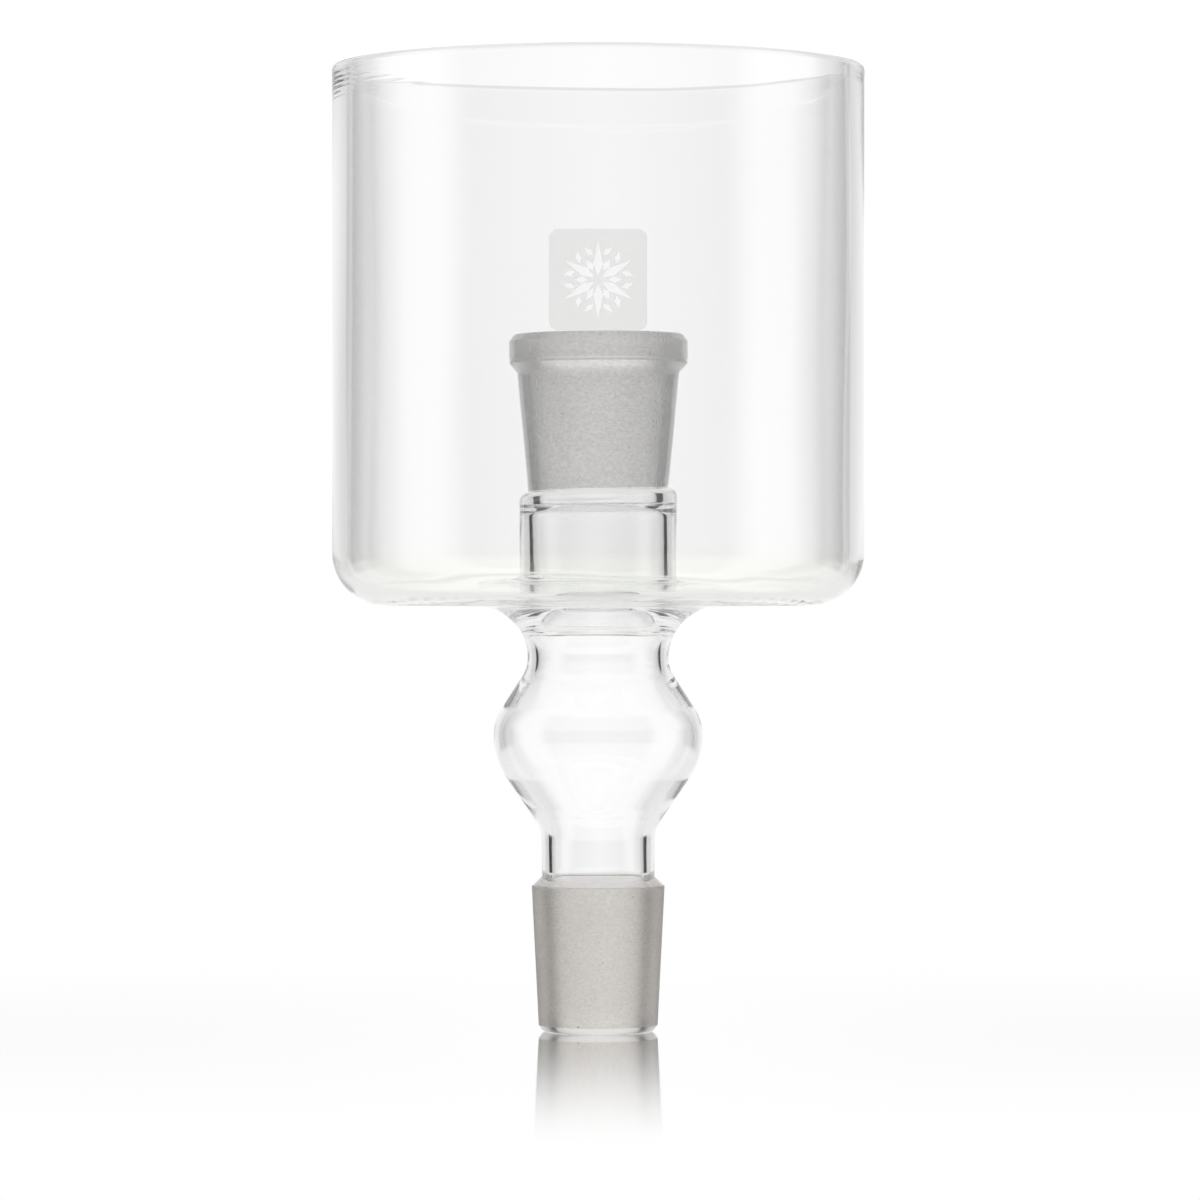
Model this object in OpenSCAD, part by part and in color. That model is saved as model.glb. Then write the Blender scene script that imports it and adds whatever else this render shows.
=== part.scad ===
// Ground-joint glass ice cup: a wide open cup with a ground socket standing
// inside it on a riser tube, and a bulbed stem with a ground cone below it.
// All glass, fused by lamp work. Z = 0 is the tip of the cone, +Z is up.

/* [Cup] */
// Outer diameter of the cup
cup_d = 117; // [100:1:140]
// Height of the fire-polished rim above the tip of the cone
rim_z = 212.2; // [190:0.1:260]
// Height of the underside of the cup
underside_z = 93.4; // [90:0.1:100]
// Thickness of the wall
cup_t = 3.4; // [2.4:0.1:4.2]
// Thickness of the floor
floor_t = 3; // [2.4:0.1:3.4]
// Outer radius of the rounded heel
heel_r = 12; // [11.5:0.5:16]
// Inner radius of the rounded heel
heel_bore_r = 8.2; // [6:0.1:8.6]

/* [Ground joints] */
// Large-end diameter of the ground cone and of the ground socket
joint_d = 29.2; // [29:0.1:29.4]
// Length that the diameter takes to shrink by 1 mm
taper = 10; // [9:0.5:12]
// Height of the mouth of the ground socket
mouth_z = 153.2; // [150:0.1:165]
// Height of the weld between the socket and its seal
socket_foot_z = 119.2; // [118:0.1:122]
// Outer radius of the bead around the mouth
bead_r = 19.4; // [19:0.1:21]
// Height where the ground zone of the cone ends
cone_top_z = 31.9; // [30:0.1:34]

/* [Riser tube] */
// Outer radius of the riser tube
riser_r = 17.3; // [17:0.1:18]
// Bore radius of the riser tube
riser_bore_r = 14.5; // [14.4:0.1:15]
// Height of the lower end of the riser tube, below the floor
riser_foot_z = 90.2; // [89.8:0.1:91]
// Height where the tube starts to close in to the socket
riser_top_z = 113; // [110:0.5:114]

/* [Stem] */
// Outer radius at the waist between the collar and the bulb
waist_r = 15.5; // [15:0.1:16]
// Bore radius at the waist
waist_bore_r = 13.2; // [12.8:0.1:13.7]
// Largest outer radius of the bulb
bulb_r = 23; // [20:0.1:26]
// Wall of the bulb where it is widest
bulb_t = 1.5; // [1.2:0.1:2]
// Height of the widest place of the bulb
bulb_z = 65; // [64:0.5:66]
// Outer radius of the neck tube
neck_r = 12.4; // [12:0.1:13]
// Bore radius of the neck tube
neck_bore_r = 10.1; // [9.6:0.1:10.6]

/* [Badge] */
// Width of the frosted badge
badge_w = 20.6; // [12:0.1:26]
// Height of the frosted badge
badge_h = 21.3; // [12:0.1:26]
// Height of the middle of the badge
badge_z = 162.1; // [130:0.1:180]

/* [Hidden] */
$fn = 128;

clear_glass = [0.80, 0.90, 0.90, 0.45];
seal_glass = [0.70, 0.86, 0.80, 0.60];
ground_glass = [0.78, 0.77, 0.75, 0.90];
frost = [0.90, 0.90, 0.89, 0.95];

// Cup
cup_r = cup_d / 2;
bore_r = cup_r - cup_t;
floor_z = underside_z + floor_t;
heel_x = cup_r - heel_r;
heel_top_z = underside_z + heel_r;
heel_bore_x = bore_r - heel_bore_r;
lip_r = cup_t / 2;

// Seal between the riser tube and the floor
floor_seal_r = 2.6;
seal_bulge = 0.4;

// Seal between the riser tube and the ground socket
shoulder_r = 2.2;
shoulder_z = riser_top_z + 3.9;
shoulder_bore_r = 3.7;
foot_r = 15.3;
foot_bore_r = joint_d / 2 - (mouth_z - socket_foot_z) / taper / 2;

// Outside of the ground socket
under_bead_r = 17.6;
bead_foot_r = 18;
bead_low_z = mouth_z - 6.4;
bead_foot_h = 1;
bead_chamfer = 1.2;
mouth_chamfer = 0.7;

// Stem: the waist, the bulb and the neck are arcs joined by their common tangents
collar_arc_r = 11.4;
waist_z = underside_z - collar_arc_r;
waist_arc_r = 7;
waist_bore_arc_r = 9;
bulb_up_r = 11;
bulb_down_r = 16.5;
neck_arc_r = 8;
neck_z = 41.9;
lip_bore_r = 14;
lip_z = riser_foot_z - 1.3;
collar_end = 92;  // degrees

// Ground cone
cone_big_r = joint_d / 2;
cone_tip_z = 1.45;
cone_small_r = cone_big_r - (cone_top_z - cone_tip_z) / taper / 2;
tip_r = cone_small_r - 1.9;
shoulder_h = 2.2;
cone_end_z = cone_top_z + shoulder_h;
cone_bore_top_r = 10.6;
cone_bore_tip_r = 9.5;
tip_round = 0.6;

// Badge
badge_t = 0.1;
badge_corner = 1.9;

// Points of an arc about [x, z], from angle a to angle b in degrees
function arc(x, z, r, a, b, n = 10) =
    [for (i = [0 : n]) let (t = a + (b - a) * i / n) [x + r * cos(t), z + r * sin(t)]];

// Tilt of the line that is tangent to two arcs curving opposite ways,
// where dx and dz part their centres and s is the sum of their radii
function tangent_tilt(dx, dz, s) = atan2(dz, dx) - acos(s / sqrt(dx * dx + dz * dz));

// One side of the stem from the waist down over the bulb to the neck.
// w, b and n are the radii there; wr, ur, dr and nr are the radii of the arcs.
function stem_side(w, b, n, wr, ur, dr, nr) =
    let (up = tangent_tilt(w + wr - (b - ur), waist_z - bulb_z, wr + ur),
         down = tangent_tilt(n + nr - (b - dr), bulb_z - neck_z, nr + dr))
    concat(arc(w + wr, waist_z, wr, 180, 180 + up, 8),
           arc(b - ur, bulb_z, ur, up, 0, 8),
           arc(b - dr, bulb_z, dr, -down / 10, -down, 9),
           arc(n + nr, neck_z, nr, 180 - down, 180, 8));

function reversed(points) = [for (i = [len(points) - 1 : -1 : 0]) points[i]];

module turned(points) {
    rotate_extrude() polygon(points);
}

module cup_wall() {
    color(clear_glass) turned(concat(
        [[bore_r, heel_top_z], [cup_r, heel_top_z]],
        arc(cup_r - lip_r, rim_z - lip_r, lip_r, 0, 180, 12)));
}

module cup_floor() {
    color(clear_glass) turned(concat(
        [[riser_r, floor_z], [riser_r, underside_z]],
        arc(heel_x, heel_top_z, heel_r, -90, 0),
        [[bore_r, heel_top_z]],
        arc(heel_bore_x, floor_z + heel_bore_r, heel_bore_r, 0, -90)));
}

// Fused ring of glass in the corner between the floor and the riser tube
module floor_seal() {
    reach = floor_seal_r + seal_bulge;
    lean = atan2(seal_bulge, reach);
    fillet = sqrt(reach * reach + seal_bulge * seal_bulge);
    color(seal_glass) turned(concat(
        [[riser_r, floor_z]],
        arc(riser_r + reach, floor_z + reach, fillet, -90 - lean, -180 + lean, 8)));
}

module riser_tube() {
    color(clear_glass) turned([
        [riser_bore_r, riser_foot_z], [riser_r, riser_foot_z],
        [riser_r, riser_top_z], [riser_bore_r, riser_top_z]]);
}

// Round shoulder where the riser tube closes in to the foot of the socket
module socket_seal() {
    out_x = riser_r - shoulder_r;
    in_x = riser_bore_r - shoulder_bore_r;
    color(seal_glass) turned(concat(
        [[riser_bore_r, riser_top_z], [riser_r, riser_top_z]],
        arc(out_x, shoulder_z, shoulder_r, 0, acos((foot_r - out_x) / shoulder_r), 7),
        [[foot_r, socket_foot_z], [foot_bore_r, socket_foot_z]],
        arc(in_x, riser_top_z, shoulder_bore_r,
            acos((foot_bore_r - in_x) / shoulder_bore_r), 5, 6)));
}

module ground_socket() {
    bead_foot_z = bead_low_z - (bead_r - bead_foot_r);
    color(ground_glass) turned([
        [foot_bore_r, socket_foot_z], [foot_r, socket_foot_z],
        [under_bead_r, bead_foot_z - bead_foot_h], [bead_foot_r, bead_foot_z],
        [bead_r, bead_low_z], [bead_r, mouth_z - bead_chamfer],
        [bead_r - bead_chamfer, mouth_z],
        [cone_big_r + mouth_chamfer, mouth_z], [cone_big_r, mouth_z - mouth_chamfer]]);
}

// Flared ring seal under the floor, with a small lip where it takes the end of the riser
module stem_collar() {
    middle = waist_r + collar_arc_r;
    bore_arc_r = middle - waist_bore_r;
    color(seal_glass) turned(concat(
        arc(middle, waist_z, collar_arc_r, 180, collar_end, 12),
        [[riser_r, underside_z], [riser_r, riser_foot_z], [riser_bore_r, riser_foot_z],
         [lip_bore_r, lip_z]],
        arc(middle, waist_z, bore_arc_r, 180 - acos((middle - riser_bore_r) / bore_arc_r), 180)));
}

module stem_bulb() {
    outside = stem_side(waist_r, bulb_r, neck_r,
                        waist_arc_r, bulb_up_r, bulb_down_r, neck_arc_r);
    inside = stem_side(waist_bore_r, bulb_r - bulb_t, neck_bore_r,
                       waist_bore_arc_r, bulb_up_r - bulb_t, bulb_down_r - bulb_t,
                       neck_arc_r + bulb_t);
    color(clear_glass) turned(concat(outside, reversed(inside)));
}

module neck_tube() {
    color(clear_glass) turned([
        [neck_bore_r, cone_end_z], [neck_r, cone_end_z],
        [neck_r, neck_z], [neck_bore_r, neck_z]]);
}

module ground_cone() {
    color(ground_glass) turned(concat(
        [[neck_bore_r, cone_end_z], [cone_bore_top_r, cone_top_z],
         [cone_bore_tip_r, tip_round], [cone_bore_tip_r + tip_round, 0]],
        arc(tip_r, cone_tip_z, cone_tip_z, -90, -20, 5),
        [[cone_small_r, cone_tip_z], [cone_big_r, cone_top_z], [neck_r, cone_end_z]]));
}

// Plain frosted square with round corners, on the front of the cup
module front_badge() {
    color(frost) intersection() {
        difference() {
            cylinder(r = cup_r + badge_t, h = rim_z);
            translate([0, 0, -1]) cylinder(r = cup_r, h = rim_z + 2);
        }
        translate([0, 0, badge_z]) rotate([90, 0, 0]) linear_extrude(cup_r + 1) badge_outline();
    }
}

module badge_outline() {
    straight_w = badge_w - 2 * badge_corner;
    straight_h = badge_h - 2 * badge_corner;
    square([badge_w, straight_h], center = true);
    square([straight_w, badge_h], center = true);
    for (x = [-1, 1]) {
        for (z = [-1, 1]) {
            translate([x * straight_w / 2, z * straight_h / 2]) circle(r = badge_corner);
        }
    }
}

cup_wall();
cup_floor();
floor_seal();
riser_tube();
socket_seal();
ground_socket();
stem_collar();
stem_bulb();
neck_tube();
ground_cone();
front_badge();
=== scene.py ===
"""Looks for the ground-joint glass ice cup: every piece of glass is turned from its outline.

Outlines are in millimetres, as (distance from the axis, height). The meshes are in metres.
"""

import math

import bmesh
import bpy
import numpy as np
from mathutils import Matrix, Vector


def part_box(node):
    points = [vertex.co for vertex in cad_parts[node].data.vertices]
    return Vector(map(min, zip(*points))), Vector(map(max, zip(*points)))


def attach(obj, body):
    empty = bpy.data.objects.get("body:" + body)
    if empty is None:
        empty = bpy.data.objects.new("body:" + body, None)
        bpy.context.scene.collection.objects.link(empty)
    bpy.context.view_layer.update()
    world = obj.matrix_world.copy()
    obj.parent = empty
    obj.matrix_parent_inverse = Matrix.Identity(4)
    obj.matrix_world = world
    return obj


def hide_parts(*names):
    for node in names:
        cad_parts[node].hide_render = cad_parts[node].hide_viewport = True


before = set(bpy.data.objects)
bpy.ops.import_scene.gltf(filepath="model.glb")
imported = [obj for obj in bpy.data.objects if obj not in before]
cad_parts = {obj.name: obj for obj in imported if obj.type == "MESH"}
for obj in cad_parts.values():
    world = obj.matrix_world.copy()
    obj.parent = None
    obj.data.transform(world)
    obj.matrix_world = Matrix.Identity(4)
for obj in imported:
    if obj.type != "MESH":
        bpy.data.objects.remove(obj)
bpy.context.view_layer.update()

MM = 0.001
SEGMENTS = 320
ARC_STEP = 0.35
LINE_STEP = 1.5


# ---------------------------------------------------------------- sizes, from the frame


def low(node):
    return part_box(node)[0] / MM


def high(node):
    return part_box(node)[1] / MM


CUP_R = high("cup_wall").x
RIM_Z = high("cup_wall").z
HEEL_TOP_Z = low("cup_wall").z
UNDERSIDE_Z = low("cup_floor").z
FLOOR_Z = low("floor_seal").z
RISER_R = high("riser_tube").x
RISER_FOOT_Z = low("riser_tube").z
RISER_TOP_Z = high("riser_tube").z
SOCKET_FOOT_Z = low("ground_socket").z
MOUTH_Z = high("ground_socket").z
BEAD_R = high("ground_socket").x
WAIST_Z = low("stem_collar").z
BULB_R = high("stem_bulb").x
NECK_Z = low("stem_bulb").z
NECK_R = high("neck_tube").x
CONE_END_Z = low("neck_tube").z
JOINT_R = high("ground_cone").x
BADGE_LOW = low("front_badge")
BADGE_HIGH = high("front_badge")

# Wall thicknesses and inner shapes, which the nodes' boxes don't show
CUP_T = 3.4
BORE_R = CUP_R - CUP_T
HEEL_R = HEEL_TOP_Z - UNDERSIDE_Z
HEEL_X = CUP_R - HEEL_R
HEEL_IN_R = 8.2
LIP_R = 1
LIP_SWELL = 0.06
LIP_CROWN = 0.15
MARKED_H = 12
FINE_STEP = 0.25
SEAL_R = 2.6
RISER_BORE_R = 14.5
SHOULDER_R = 2.2
SHOULDER_Z = RISER_TOP_Z + 3.9
SHOULDER_BORE_R = 3.7
FOOT_R = 15.3
UNDER_BEAD_R = 17.6
TAPER = 10
FOOT_BORE_R = JOINT_R - (MOUTH_Z - SOCKET_FOOT_Z) / TAPER / 2
BEAD_H = 6.4
BEAD_ROUND = 0.7
WAIST_R = 15.5
WAIST_BORE_R = 13.2
WAIST_ARC_R = 7
WAIST_BORE_ARC_R = 9
COLLAR_ARC_R = UNDERSIDE_Z - WAIST_Z
LIP_BORE_R = 14
LIP_Z = RISER_FOOT_Z - 1.3
BULB_Z = 65
BULB_T = 1.5
BULB_UP_R = 11
BULB_DOWN_R = 16.5
NECK_ARC_R = 8
NECK_BORE_R = 10.1
CONE_TOP_Z = CONE_END_Z - 2.2
CONE_TIP_Z = 1.45
CONE_SMALL_R = JOINT_R - (CONE_TOP_Z - CONE_TIP_Z) / TAPER / 2
CONE_BORE_TOP_R = 10.6
CONE_BORE_TIP_R = 9.5


# ---------------------------------------------------------------- outlines


def arc(x, z, r, start, end):
    """Points of an arc about (x, z), from one angle to another in degrees."""
    turn = math.radians(end - start)
    count = max(3, math.ceil(abs(turn) * r / ARC_STEP))
    angles = [math.radians(start) + turn * i / count for i in range(count + 1)]
    return [(x + r * math.cos(a), z + r * math.sin(a)) for a in angles]


def line(start, end, step=LINE_STEP):
    """Points along a straight stretch."""
    count = max(1, math.ceil(math.dist(start, end) / step))
    return [
        (start[0] + (end[0] - start[0]) * i / count, start[1] + (end[1] - start[1]) * i / count)
        for i in range(count + 1)
    ]


def run(*stretches):
    """Joins stretches of points into one, without doubled points."""
    points = []
    for stretch in stretches:
        for p in stretch:
            if not points or math.dist(points[-1], p) > 1e-4:
                points.append(p)
    return points


def rounded(*corners):
    """Straight stretches through corners (x, z, radius), each corner rounded to its radius."""
    stretches, last = [], corners[0][:2]
    for before, corner, after in zip(corners, corners[1:], corners[2:]):
        at = np.array(corner[:2])
        a = np.array(before[:2]) - at
        b = np.array(after[:2]) - at
        a, b = a / np.linalg.norm(a), b / np.linalg.norm(b)
        half = math.acos(np.clip(a @ b, -1, 1)) / 2
        middle = at + (a + b) / np.linalg.norm(a + b) * corner[2] / math.sin(half)
        start = at + a * corner[2] / math.tan(half)
        end = at + b * corner[2] / math.tan(half)
        angle = math.degrees(math.atan2(*(start - middle)[::-1]))
        turn = 180 - math.degrees(2 * half)
        if a[0] * b[1] - a[1] * b[0] > 0:
            turn = -turn
        stretches += [line(last, tuple(start)), arc(*middle, corner[2], angle, angle + turn)]
        last = tuple(end)
    return run(*stretches, line(last, corners[-1][:2]))


def tangent_tilt(dx, dz, s):
    """Tilt of the tangent of two arcs that curve opposite ways, their centres dx and dz apart."""
    return math.degrees(math.atan2(dz, dx) - math.acos(s / math.hypot(dx, dz)))


def stem_side(waist, bulb, neck, waist_arc, up_arc, down_arc, neck_arc):
    """One side of the stem from the waist down over the bulb to the neck."""
    up = tangent_tilt(waist + waist_arc - (bulb - up_arc), WAIST_Z - BULB_Z, waist_arc + up_arc)
    down = tangent_tilt(neck + neck_arc - (bulb - down_arc), BULB_Z - NECK_Z, neck_arc + down_arc)
    return run(
        arc(waist + waist_arc, WAIST_Z, waist_arc, 180, 180 + up),
        arc(bulb - up_arc, BULB_Z, up_arc, up, 0),
        arc(bulb - down_arc, BULB_Z, down_arc, 0, -down),
        arc(neck + neck_arc, NECK_Z, neck_arc, 180 - down, 180),
    )


# Each piece is a closed outline, counterclockwise: skins of a finish, and the seams where it
# is fused to its neighbours, which can't be seen.


def cup_wall():
    top = RIM_Z - LIP_R - LIP_CROWN
    marked = RIM_Z - MARKED_H
    out_lip, in_lip = (CUP_R + LIP_SWELL, top), (BORE_R - LIP_SWELL, top)
    skin = run(
        line((CUP_R, HEEL_TOP_Z), (CUP_R, marked)),
        line((CUP_R, marked), (CUP_R, top - 3), FINE_STEP),
        line((CUP_R, top - 3), out_lip, FINE_STEP),
        arc(CUP_R + LIP_SWELL - LIP_R, top, LIP_R, 0, 80),
        [((CUP_R + BORE_R) / 2, RIM_Z)],
        arc(BORE_R - LIP_SWELL + LIP_R, top, LIP_R, 100, 180),
        line(in_lip, (BORE_R, top - 3), FINE_STEP),
        line((BORE_R, top - 3), (BORE_R, marked), FINE_STEP),
        line((BORE_R, marked), (BORE_R, HEEL_TOP_Z)),
    )
    return [("clear", skin), ("seam", [skin[-1], skin[0]])]


def cup_floor():
    out = (COLLAR_ARC_R + WAIST_R, UNDERSIDE_Z)
    below = run(line(out, (HEEL_X, UNDERSIDE_Z)), arc(HEEL_X, HEEL_TOP_Z, HEEL_R, -90, 0))
    foot = (RISER_R + SEAL_R, FLOOR_Z)
    heel = (BORE_R - HEEL_IN_R, FLOOR_Z + HEEL_IN_R)
    above = run(
        line((BORE_R, HEEL_TOP_Z), (BORE_R, heel[1])),
        arc(*heel, HEEL_IN_R, 0, -90),
        line((heel[0], FLOOR_Z), foot),
    )
    inner = [foot, (RISER_R, FLOOR_Z), (RISER_R, UNDERSIDE_Z), out]
    return [("floor", below), ("seam", [below[-1], above[0]]), ("floor", above), ("seam", inner)]


def floor_seal():
    skin = arc(RISER_R + SEAL_R, FLOOR_Z + SEAL_R, SEAL_R, -90, -180)
    return [("seal", skin), ("seam", [skin[-1], (RISER_R, FLOOR_Z), skin[0]])]


def riser_tube():
    outside = line((RISER_R, FLOOR_Z + SEAL_R), (RISER_R, RISER_TOP_Z))
    bore = line((RISER_BORE_R, RISER_TOP_Z), (RISER_BORE_R, RISER_FOOT_Z))
    return [
        ("clear", outside),
        ("seam", [outside[-1], bore[0]]),
        ("clear", bore),
        ("seam", [bore[-1], (RISER_R, RISER_FOOT_Z), outside[0]]),
    ]


def socket_seal():
    out_x, in_x = RISER_R - SHOULDER_R, RISER_BORE_R - SHOULDER_BORE_R
    lean = math.degrees(math.acos((FOOT_R - out_x) / SHOULDER_R))
    shoulder = run(
        line((RISER_R, RISER_TOP_Z), (RISER_R, SHOULDER_Z)),
        arc(out_x, SHOULDER_Z, SHOULDER_R, 0, lean),
        [(FOOT_R, SOCKET_FOOT_Z)],
    )
    in_lean = math.degrees(math.acos((FOOT_BORE_R - in_x) / SHOULDER_BORE_R))
    bore = run(
        [(FOOT_BORE_R, SOCKET_FOOT_Z)],
        arc(in_x, RISER_TOP_Z, SHOULDER_BORE_R, in_lean, 0),
    )
    return [
        ("clear", shoulder),
        ("seam", [shoulder[-1], bore[0]]),
        ("clear", bore),
        ("seam", [bore[-1], shoulder[0]]),
    ]


def ground_socket():
    under = UNDER_BEAD_R, MOUTH_Z - BEAD_H - 2
    body = line((FOOT_R, SOCKET_FOOT_Z), under)
    bead = rounded(
        (*under, 0),
        (BEAD_R, MOUTH_Z - BEAD_H, 0.1),
        (BEAD_R, MOUTH_Z - BEAD_H + 0.3, 0.1),
        (BEAD_R - 0.3, MOUTH_Z - BEAD_H + 0.55, 0.1),
        (BEAD_R, MOUTH_Z - BEAD_H + 0.8, 0.1),
        (BEAD_R, MOUTH_Z - 1.6, BEAD_ROUND),
        (BEAD_R - 1.1, MOUTH_Z, BEAD_ROUND),
        (JOINT_R + 2.4, MOUTH_Z, 0),
    )
    ground = rounded(
        (JOINT_R + 2.4, MOUTH_Z, 0),
        (JOINT_R, MOUTH_Z, 0.6),
        (FOOT_BORE_R, SOCKET_FOOT_Z, 0),
    )
    return [
        ("clear", body),
        ("bead", bead),
        ("ground bore", ground),
        ("seam", [ground[-1], body[0]]),
    ]


def stem_collar():
    middle = WAIST_R + COLLAR_ARC_R
    outside = arc(middle, WAIST_Z, COLLAR_ARC_R, 180, 90)
    bore_arc_r = middle - WAIST_BORE_R
    flare = math.degrees(math.acos((middle - RISER_BORE_R) / bore_arc_r))
    bore = arc(middle, WAIST_Z, bore_arc_r, 180 - flare, 180)
    lip = rounded(
        (RISER_BORE_R, RISER_FOOT_Z, 0), (LIP_BORE_R, LIP_Z, 0.8), (*bore[0], 0.3), (*bore[3], 0)
    )
    bore = bore[3:]
    top = [outside[-1], (RISER_R, UNDERSIDE_Z), (RISER_R, RISER_FOOT_Z), lip[0]]
    return [
        ("clear", outside),
        ("seam", top),
        ("seal", lip),
        ("clear", bore),
        ("seam", [bore[-1], outside[0]]),
    ]


def stem_bulb():
    outside = stem_side(WAIST_R, BULB_R, NECK_R, WAIST_ARC_R, BULB_UP_R, BULB_DOWN_R, NECK_ARC_R)
    bore = stem_side(
        WAIST_BORE_R,
        BULB_R - BULB_T,
        NECK_BORE_R,
        WAIST_BORE_ARC_R,
        BULB_UP_R - BULB_T,
        BULB_DOWN_R - BULB_T,
        NECK_ARC_R + BULB_T,
    )
    outside.reverse()
    return [
        ("clear", outside),
        ("seam", [outside[-1], bore[0]]),
        ("clear", bore),
        ("seam", [bore[-1], outside[0]]),
    ]


def neck_tube():
    outside = line((NECK_R, CONE_END_Z), (NECK_R, NECK_Z))
    bore = line((NECK_BORE_R, NECK_Z), (NECK_BORE_R, CONE_END_Z))
    return [
        ("clear", outside),
        ("seam", [outside[-1], bore[0]]),
        ("clear", bore),
        ("seam", [bore[-1], outside[0]]),
    ]


def ground_cone():
    edge = JOINT_R - 0.25, CONE_TOP_Z + 0.25
    tip = rounded(
        (CONE_BORE_TIP_R, 3, 0),
        (CONE_BORE_TIP_R, 0, 0.8),
        (CONE_SMALL_R - 1, 0, 1.4),
        (CONE_SMALL_R, CONE_TIP_Z, 0),
    )
    ground = rounded((CONE_SMALL_R, CONE_TIP_Z, 0), (JOINT_R, CONE_TOP_Z, 0.3), (*edge, 0))
    shoulder = line(edge, (NECK_R, CONE_END_Z))
    bore = rounded(
        (NECK_BORE_R, CONE_END_Z, 0), (CONE_BORE_TOP_R, CONE_TOP_Z, 4), (CONE_BORE_TIP_R, 3, 0)
    )
    return [
        ("ground cone", ground),
        ("clear", shoulder),
        ("seam", [shoulder[-1], bore[0]]),
        ("clear", run(bore, tip)),
    ]


OUTLINES = {
    "cup_wall": cup_wall(),
    "cup_floor": cup_floor(),
    "floor_seal": floor_seal(),
    "riser_tube": riser_tube(),
    "socket_seal": socket_seal(),
    "ground_socket": ground_socket(),
    "stem_collar": stem_collar(),
    "stem_bulb": stem_bulb(),
    "neck_tube": neck_tube(),
    "ground_cone": ground_cone(),
}


# ---------------------------------------------------------------- turning outlines into meshes


def hand_made(points):
    """Small smooth ripples of hand work, as a field, so that pieces that meet still meet."""
    x, y, z = points[..., 0], points[..., 1], points[..., 2]
    r = np.hypot(x, y)
    turn = np.arctan2(y, x)
    wide = np.clip((r - 30) / 20, 0, 1)
    push = 0.05 * np.sin(2 * turn + 0.7) * np.clip(r / 40, 0, 1)
    push += wide * 0.035 * np.sin(5 * turn + z / 21 + r * 0.9)
    push += wide * 0.012 * np.sin(17 * turn - z / 13 + r * 1.7)
    push += (1 - wide) * 0.03 * np.sin(3 * turn + z / 6 + r * 1.1)
    push *= np.clip((z - 33) / 8, 0, 1)
    depth = RIM_Z - z
    left = (0.5 + 0.5 * np.cos(turn + 2.85)) ** 30
    marks = wide * np.exp(-(((depth - 5) / 2.6) ** 2)) * left
    push += 0.02 * marks * np.sin(5.6 * depth + np.sin(2 * turn))
    weld = np.exp(-(((z - SOCKET_FOOT_Z + 1) / 2.4) ** 2)) * (1 - wide)
    lift = weld * (0.5 * np.cos(turn) + 0.1 * np.sin(3 * turn + 1))
    moved = points.copy()
    scale = 1 + push / np.maximum(r, 1)
    moved[..., 0] *= scale
    moved[..., 1] *= scale
    moved[..., 2] += lift
    return moved


def spin(outline):
    """Turns outline points into rings: an array of points, segments and coordinates, in mm."""
    turn = np.arange(SEGMENTS) * 2 * math.pi / SEGMENTS
    profile = np.array(outline)
    rings = np.empty((len(outline), SEGMENTS, 3))
    rings[..., 0] = profile[:, :1] * np.cos(turn)
    rings[..., 1] = profile[:, :1] * np.sin(turn)
    rings[..., 2] = profile[:, 1:]
    return hand_made(rings)


def neighbour(point, at_start):
    """The point next to a skin's end on the skin that goes on from there, or None."""
    for pieces in OUTLINES.values():
        for finish, points in pieces:
            end, beyond = (points[-1], points[-2]) if at_start else (points[0], points[1])
            if finish != "seam" and math.dist(end, point) < 1e-4:
                return beyond
    return None


def skin_normals(points):
    """Normals at each point of a skin, which go on smoothly into the next piece's skin."""
    before = neighbour(points[0], True)
    after = neighbour(points[-1], False)
    first = before or tuple(2 * np.array(points[0]) - np.array(points[1]))
    last = after or tuple(2 * np.array(points[-1]) - np.array(points[-2]))
    rings = spin([first, *points, last])
    along = rings[2:] - rings[:-2]
    round_ = np.roll(rings[1:-1], -1, axis=1) - np.roll(rings[1:-1], 1, axis=1)
    normals = np.cross(round_, along)
    return normals / np.linalg.norm(normals, axis=2, keepdims=True)


def turned_piece(name, pieces, materials):
    """One closed mesh, turned from an outline of skins and seams."""
    outline, spans = [], []
    for finish, points in pieces:
        spans.append((finish, points, len(outline)))
        outline += points[:-1]
    rows = len(outline)
    verts = spin(outline).reshape(-1, 3) * MM
    faces, normals, slots = [], [], []
    names = sorted({finish for finish, _ in pieces})
    columns = np.arange(SEGMENTS)
    onward = (columns + 1) % SEGMENTS
    for finish, points, start in spans:
        smooth = None if finish == "seam" else skin_normals(points)
        for i in range(len(points) - 1):
            lower, upper = (start + i) % rows * SEGMENTS, (start + i + 1) % rows * SEGMENTS
            quad = np.stack([lower + columns, lower + onward, upper + onward, upper + columns], 1)
            faces.append(quad)
            slots += [names.index(finish)] * SEGMENTS
            if smooth is None:
                corners = verts[quad]
                flat = np.cross(corners[:, 2] - corners[:, 0], corners[:, 3] - corners[:, 1])
                flat /= np.maximum(np.linalg.norm(flat, axis=1, keepdims=True), 1e-12)
                normals.append(np.repeat(flat[:, None], 4, axis=1))
            else:
                a, b = smooth[i], smooth[i + 1]
                normals.append(np.stack([a, a[onward], b[onward], b], 1))
    mesh = bpy.data.meshes.new(name)
    mesh.from_pydata(verts.tolist(), [], np.concatenate(faces).tolist())
    mesh.polygons.foreach_set("material_index", slots)
    mesh.polygons.foreach_set("use_smooth", [True] * len(mesh.polygons))
    mesh.normals_split_custom_set(np.concatenate(normals).reshape(-1, 3).tolist())
    for finish in names:
        mesh.materials.append(materials[finish])
    piece = bpy.data.objects.new(name, mesh)
    bpy.context.scene.collection.objects.link(piece)
    return piece


# ---------------------------------------------------------------- materials


def new_material(name):
    """A material with its Principled shader, nodes and links."""
    material = bpy.data.materials.new(name)
    material.use_nodes = True
    tree = material.node_tree
    return material, tree.nodes, tree.links, tree.nodes["Principled BSDF"]


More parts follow.
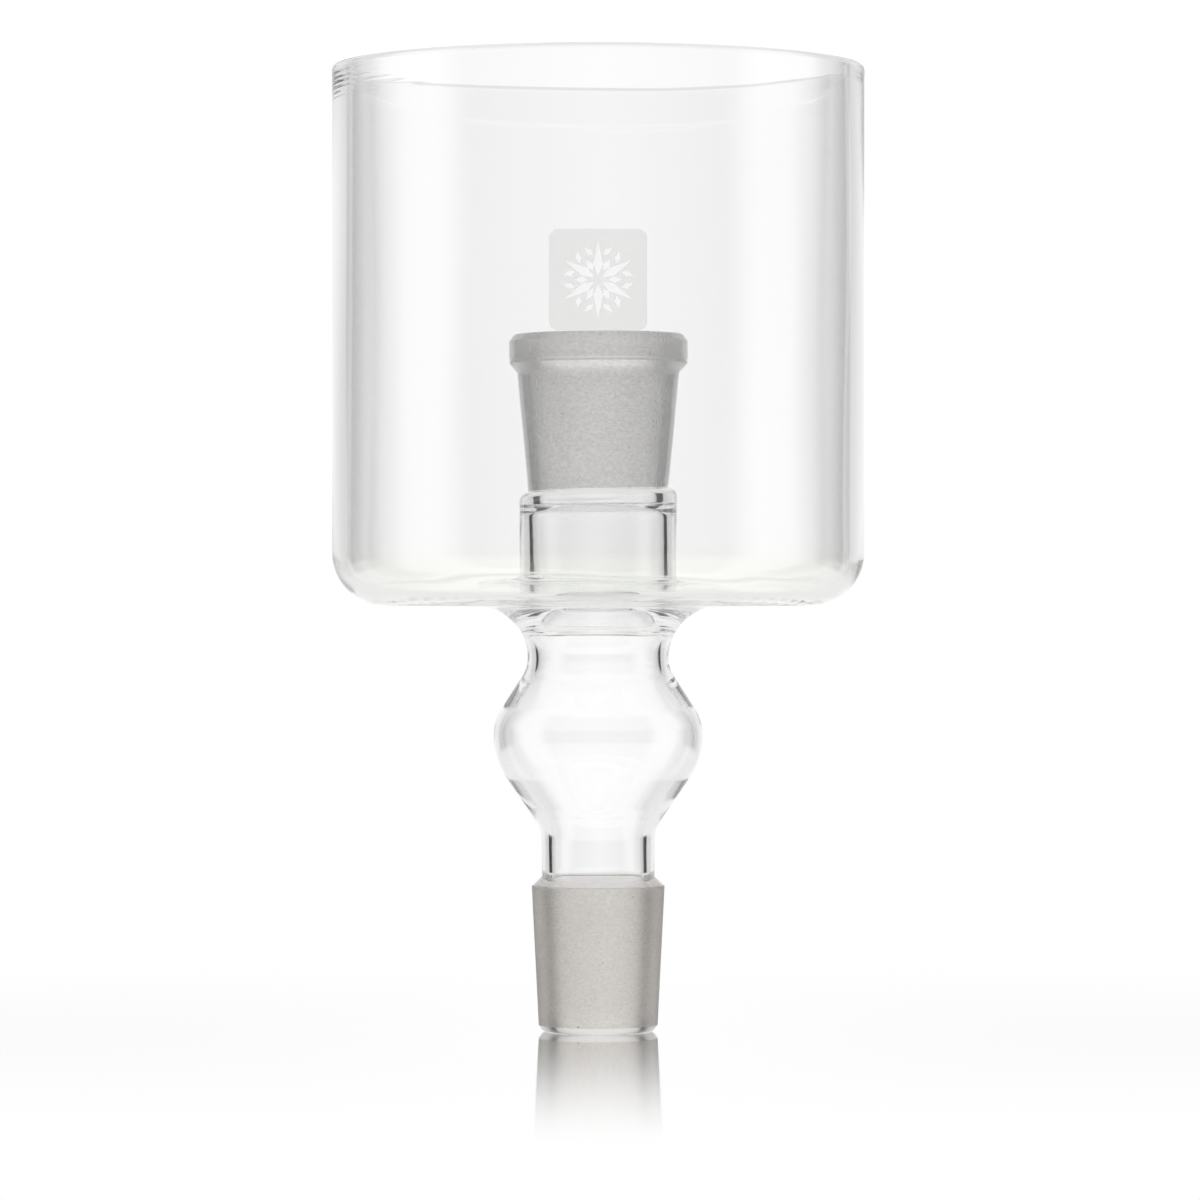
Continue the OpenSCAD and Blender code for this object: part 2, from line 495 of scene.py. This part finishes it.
def math_node(nodes, links, operation, *values):
    """A math node whose inputs are other nodes' outputs or plain numbers."""
    node = nodes.new("ShaderNodeMath")
    node.operation = operation
    for socket, value in zip(node.inputs, values):
        if isinstance(value, (int, float)):
            socket.default_value = value
        else:
            links.new(value, socket)
    return node.outputs["Value"]


def colour_mix(nodes, links, factor, a, b, blend="MIX"):
    """A colour mix whose inputs are other nodes' outputs or plain colours."""
    node = nodes.new("ShaderNodeMix")
    node.data_type = "RGBA"
    node.blend_type = blend
    for name, value in (("Factor", factor), ("A", a), ("B", b)):
        if isinstance(value, (int, float, tuple)):
            node.inputs[name].default_value = value
        else:
            links.new(value, node.inputs[name])
    return node.outputs["Result"]


def map_range(nodes, links, value, start, end, to_start=0, to_end=1):
    """A smooth step of a value between two limits."""
    node = nodes.new("ShaderNodeMapRange")
    node.interpolation_type = "SMOOTHSTEP"
    links.new(value, node.inputs["Value"])
    node.inputs["From Min"].default_value = start
    node.inputs["From Max"].default_value = end
    node.inputs["To Min"].default_value = to_start
    node.inputs["To Max"].default_value = to_end
    return node.outputs["Result"]


def ramp(nodes, links, value, stops):
    """A colour ramp through (position, colour) stops."""
    node = nodes.new("ShaderNodeValToRGB")
    elements = node.color_ramp.elements
    elements[0].position, elements[0].color = stops[0]
    elements[1].position, elements[1].color = stops[-1]
    for position, colour in stops[1:-1]:
        elements.new(position).color = colour
    links.new(value, node.inputs["Fac"])
    return node.outputs["Color"]


def stretched_noise(nodes, links, scale, stretch, detail):
    """Noise in the piece's own coordinates, stretched by a factor along each axis."""
    where = nodes.new("ShaderNodeTexCoord")
    mapping = nodes.new("ShaderNodeMapping")
    mapping.inputs["Scale"].default_value = stretch
    noise = nodes.new("ShaderNodeTexNoise")
    noise.inputs["Scale"].default_value = scale
    noise.inputs["Detail"].default_value = detail
    links.new(where.outputs["Object"], mapping.inputs["Vector"])
    links.new(mapping.outputs["Vector"], noise.inputs["Vector"])
    return noise


def bump(nodes, links, height, distance, under=None):
    """A bump of a height signal, distance metres deep, on top of another one."""
    node = nodes.new("ShaderNodeBump")
    node.inputs["Distance"].default_value = distance
    links.new(height, node.inputs["Height"])
    if under is not None:
        links.new(under, node.inputs["Normal"])
    return node.outputs["Normal"]


def glass(name, tint, depth):
    """Clear glass with faint draw lines and waves."""
    material, nodes, links, shader = new_material(name)
    shader.inputs["Base Color"].default_value = (*tint, 1)
    shader.inputs["Transmission Weight"].default_value = 1
    shader.inputs["Roughness"].default_value = 0
    shader.inputs["IOR"].default_value = 1.473
    draw = stretched_noise(nodes, links, 160, (1, 1, 0.06), 1)
    waves = stretched_noise(nodes, links, 45, (1, 1, 0.5), 0)
    lines = bump(nodes, links, draw.outputs["Fac"], depth)
    links.new(bump(nodes, links, waves.outputs["Fac"], depth * 4, lines), shader.inputs["Normal"])
    return material


def satin(name, tint, roughness):
    """Glass with a slightly matt skin."""
    material, nodes, links, shader = new_material(name)
    shader.inputs["Base Color"].default_value = (*tint, 1)
    shader.inputs["Transmission Weight"].default_value = 1
    shader.inputs["Roughness"].default_value = roughness
    shader.inputs["IOR"].default_value = 1.473
    grain = stretched_noise(nodes, links, 1500, (1, 1, 1), 2)
    links.new(bump(nodes, links, grain.outputs["Fac"], 0.00002), shader.inputs["Normal"])
    return material


def ground_finish(name, dark, light, grain_size, grain_dark):
    """Fine-ground glass: matt, with grain, grinding rings and a few specks."""
    material, nodes, links, shader = new_material(name)
    shader.inputs["Transmission Weight"].default_value = 1
    shader.inputs["Roughness"].default_value = 0.45
    shader.inputs["IOR"].default_value = 1.473
    grain = stretched_noise(nodes, links, 2600, (1, 1, 1), 2)
    rings = stretched_noise(nodes, links, 900, (0.02, 0.02, 1), 2)
    cloud = stretched_noise(nodes, links, 90, (1, 1, 0.5), 3)
    speck = stretched_noise(nodes, links, 1500, (1, 1, 1), 0)
    fine = stretched_noise(nodes, links, grain_size, (1, 1, 1.6), 3)
    spots = ramp(
        nodes, links, speck.outputs["Fac"], [(0.14, (0.35, 0.3, 0.24, 1)), (0.16, (1, 1, 1, 1))]
    )
    tone = ramp(nodes, links, cloud.outputs["Fac"], [(0.35, dark), (0.65, light)])
    darkest = (grain_dark, grain_dark, grain_dark, 1)
    pepper = ramp(nodes, links, fine.outputs["Fac"], [(0.3, darkest), (0.7, (1, 1, 1, 1))])
    tone = colour_mix(nodes, links, 1.0, tone, spots, "MULTIPLY")
    tone = colour_mix(nodes, links, 1.0, tone, pepper, "MULTIPLY")
    links.new(tone, shader.inputs["Base Color"])
    lines = bump(nodes, links, rings.outputs["Fac"], 0.00004)
    links.new(bump(nodes, links, grain.outputs["Fac"], 0.00006, lines), shader.inputs["Normal"])
    return material


def seam_finish():
    """Fused seams inside the glass: nothing to see."""
    material, nodes, links, shader = new_material("fused_seam")
    nodes.remove(shader)
    clear = nodes.new("ShaderNodeBsdfTransparent")
    links.new(clear.outputs["BSDF"], nodes["Material Output"].inputs["Surface"])
    return material


def frost_finish():
    """Thin white frosting that lets some of the view through."""
    material, nodes, links, shader = new_material("badge_frost")
    shader.inputs["Roughness"].default_value = 0.7
    shader.inputs["Base Color"].default_value = (0.86, 0.85, 0.83, 1)
    shader.inputs["Alpha"].default_value = 0.17
    grain = stretched_noise(nodes, links, 1800, (1, 1, 1), 2)
    links.new(bump(nodes, links, grain.outputs["Fac"], 0.00003), shader.inputs["Normal"])
    return material


FINISHES = {
    "clear": glass("clear_borosilicate", (0.99, 0.99, 0.99), 0.000004),
    "floor": glass("floor_borosilicate", (0.985, 0.99, 0.97), 0.000004),
    "seal": glass("fused_borosilicate", (0.975, 0.99, 0.97), 0.00001),
    "bead": satin("satin_borosilicate", (0.995, 0.99, 0.98), 0.16),
    "ground bore": ground_finish(
        "ground_bore", (0.96, 0.95, 0.93, 1), (1, 0.99, 0.975, 1), 1300, 0.64
    ),
    "ground cone": ground_finish(
        "ground_cone", (0.82, 0.78, 0.73, 1), (0.90, 0.865, 0.82, 1), 1300, 0.74
    ),
    "seam": seam_finish(),
}

for node, pieces in OUTLINES.items():
    piece = turned_piece(node + "_glass", pieces, FINISHES)
    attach(piece, "root")
    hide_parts(node)


# ---------------------------------------------------------------- badge


def kite(angle, near, far, waist, half_width, centre=(0, 0)):
    """A slim kite that points away from a centre, as corners of an outline."""
    c, s = math.cos(math.radians(angle)), math.sin(math.radians(angle))
    corners = [(near, 0), (waist, half_width), (far, 0), (waist, -half_width)]
    return [(centre[0] + u * c - v * s, centre[1] + u * s + v * c) for u, v in corners]


def crystal():
    """A plain six-armed ice crystal, as separate kites."""
    shapes = []
    for arm in range(6):
        angle = 90 + 60 * arm
        shapes.append(kite(angle, 0.9, 8.2, 3.2, 0.95))
        shapes.append(kite(angle + 30, 2.2, 4.9, 3.4, 0.7))
        for side in (-1, 1):
            lean = math.radians(angle + side * 11)
            root = (5.2 * math.cos(lean), 5.2 * math.sin(lean))
            shapes.append(kite(angle + side * 50, 0, 2.6, 1.1, 0.6, root))
    return shapes


def rounded_square(width, height, corner):
    """Outline of a square with round corners about the origin."""
    points = []
    for quarter in range(4):
        sx, sz = ((1, 1), (-1, 1), (-1, -1), (1, -1))[quarter]
        cx, cz = sx * (width / 2 - corner), sz * (height / 2 - corner)
        for step in range(9):
            a = math.radians(90 * quarter + 90 * step / 8)
            points.append((cx + corner * math.cos(a), cz + corner * math.sin(a)))
    return points


def add_outline(curve, points):
    spline = curve.splines.new("POLY")
    spline.points.add(len(points) - 1)
    spline.use_cyclic_u = True
    for target, (x, y) in zip(spline.points, points):
        target.co = (x, y, 0, 1)


def badge():
    """Frosted rounded square, wrapped on the cup, with the crystal left clear."""
    width = 2 * CUP_R * math.asin(BADGE_HIGH.x / CUP_R)
    height = BADGE_HIGH.z - BADGE_LOW.z
    middle = (BADGE_HIGH.z + BADGE_LOW.z) / 2
    curve = bpy.data.curves.new("badge_outline", "CURVE")
    curve.dimensions = "2D"
    curve.fill_mode = "BOTH"
    curve.extrude = 0.03
    add_outline(curve, rounded_square(width, height, 1.9))
    for shape in crystal():
        add_outline(curve, shape)
    flat = bpy.data.objects.new("badge_flat", curve)
    mesh = bpy.data.meshes.new_from_object(flat)
    bpy.data.objects.remove(flat)
    shell = bmesh.new()
    shell.from_mesh(mesh)
    bmesh.ops.remove_doubles(shell, verts=shell.verts, dist=1e-5)
    for x in np.arange(-round(width / 2), width / 2, 0.8):
        everything = [*shell.verts, *shell.edges, *shell.faces]
        bmesh.ops.bisect_plane(shell, geom=everything, plane_co=(x, 0, 0), plane_no=(1, 0, 0))
    bmesh.ops.recalc_face_normals(shell, faces=shell.faces)
    for vert in shell.verts:
        turn = vert.co.x / CUP_R
        r = CUP_R + 0.06 + vert.co.z
        at = np.array([r * math.sin(turn), -r * math.cos(turn), middle + vert.co.y])
        vert.co = hand_made(at) * MM
    shell.to_mesh(mesh)
    shell.free()
    mesh.name = "front_badge_frost"
    mesh.materials.clear()
    mesh.materials.append(frost_finish())
    piece = bpy.data.objects.new("front_badge_frost", mesh)
    bpy.context.scene.collection.objects.link(piece)
    return piece


badge_piece = badge()
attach(badge_piece, "root")
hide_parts("front_badge")


# ---------------------------------------------------------------- stage, light and camera

FLOOR_SIZE = 12


def floor_disc():
    """Plain white floor. It mirrors at a low angle only, and less and less away from the object."""
    mesh = bpy.data.meshes.new("stage_floor")
    disc = bmesh.new()
    bmesh.ops.create_circle(disc, cap_ends=True, segments=96, radius=FLOOR_SIZE)
    disc.to_mesh(mesh)
    disc.free()
    material, nodes, links, shader = new_material("stage_white")
    nodes.remove(shader)
    glow = nodes.new("ShaderNodeEmission")
    gloss = nodes.new("ShaderNodeBsdfGlossy")
    gloss.inputs["Roughness"].default_value = 0.06
    gloss.inputs["Color"].default_value = (*MIRROR_TINT, 1)
    where = nodes.new("ShaderNodeTexCoord")
    reach = nodes.new("ShaderNodeVectorMath")
    reach.operation = "LENGTH"
    links.new(where.outputs["Object"], reach.inputs[0])
    near = map_range(nodes, links, reach.outputs["Value"], *MIRROR_REACH, 1, 0)
    layer = nodes.new("ShaderNodeLayerWeight")
    slant = map_range(nodes, links, layer.outputs["Facing"], *MIRROR_SLANT)
    mirror = math_node(nodes, links, "MULTIPLY", near, slant)
    mix = nodes.new("ShaderNodeMixShader")
    links.new(mirror, mix.inputs["Fac"])
    links.new(glow.outputs["Emission"], mix.inputs[1])
    links.new(gloss.outputs["BSDF"], mix.inputs[2])
    links.new(mix.outputs["Shader"], nodes["Material Output"].inputs["Surface"])
    mesh.materials.append(material)
    floor = bpy.data.objects.new("stage_floor", mesh)
    bpy.context.scene.collection.objects.link(floor)
    floor.visible_transmission = False
    floor.visible_glossy = False


# Plain bright-field studio, the same to the left and right. Brightness round the horizon, at
# angles from straight ahead in degrees: white backdrop, black flags, pale side walls, dim room
STUDIO = [
    (0, 1.0),
    (40, 0.6),
    (42, 0.01),
    (65, 0.01),
    (75, 0.9),
    (105, 0.9),
    (120, 0.05),
    (180, 0.2),
]
TABLE_COLOUR = (0.8, 0.8, 0.8, 1)
CEILING_COLOUR = (0.9, 0.9, 0.9, 1)
STUDIO_STRENGTH = 1.05
# Heights in degrees over which the table gives way to the walls, and the walls to the ceiling
TABLE_EDGE = (-12, -7)
WALL_TOP = (40, 55)
# The floor's mirror: its tint, and where it fades, in metres from the axis and by slant
MIRROR_TINT = (0.95, 0.95, 0.95)
MIRROR_REACH = (0.03, 0.28)
MIRROR_SLANT = (0.8, 0.95)


def sine(degrees):
    return math.sin(math.radians(degrees))


def studio_world():
    """Soft light all round from the studio's walls, ceiling and table, on white for the camera."""
    world = bpy.data.worlds.new("studio")
    world.use_nodes = True
    nodes, links = world.node_tree.nodes, world.node_tree.links

    where = nodes.new("ShaderNodeTexCoord")
    axes = nodes.new("ShaderNodeSeparateXYZ")
    links.new(where.outputs["Generated"], axes.inputs["Vector"])
    height = axes.outputs["Z"]
    turn = math_node(nodes, links, "ARCTAN2", axes.outputs["X"], axes.outputs["Y"])
    aside = math_node(nodes, links, "ABSOLUTE", turn)
    aside = math_node(nodes, links, "MULTIPLY", aside, 1 / math.pi)
    stops = [(degrees / 180, (level, level, level, 1)) for degrees, level in STUDIO]
    walls = ramp(nodes, links, aside, stops)
    upper = map_range(nodes, links, height, *map(sine, WALL_TOP))
    lower = map_range(nodes, links, height, *map(sine, TABLE_EDGE))
    room = colour_mix(nodes, links, upper, walls, CEILING_COLOUR)
    around = colour_mix(nodes, links, lower, TABLE_COLOUR, room)
    path = nodes.new("ShaderNodeLightPath")
    seen = colour_mix(nodes, links, path.outputs["Is Camera Ray"], around, (1, 1, 1, 1))
    links.new(seen, nodes["Background"].inputs["Color"])
    nodes["Background"].inputs["Strength"].default_value = STUDIO_STRENGTH
    bpy.context.scene.world = world


def camera():
    """Level camera with a long lens, a little above the underside of the cup."""
    data = bpy.data.cameras.new("camera")
    data.sensor_width = 36
    data.lens = 177.6
    data.clip_end = 50
    eye = bpy.data.objects.new("camera", data)
    eye.location = (0.4 * MM, -1301.7 * MM, (UNDERSIDE_Z + 1.4) * MM)
    eye.rotation_euler = (math.radians(90), 0, 0)
    bpy.context.scene.collection.objects.link(eye)
    bpy.context.scene.camera = eye


floor_disc()
studio_world()
camera()

scene = bpy.context.scene
scene.view_settings.view_transform = "Standard"
scene.cycles.max_bounces = 128
scene.cycles.transmission_bounces = 128
scene.cycles.glossy_bounces = 128
scene.cycles.transparent_max_bounces = 256
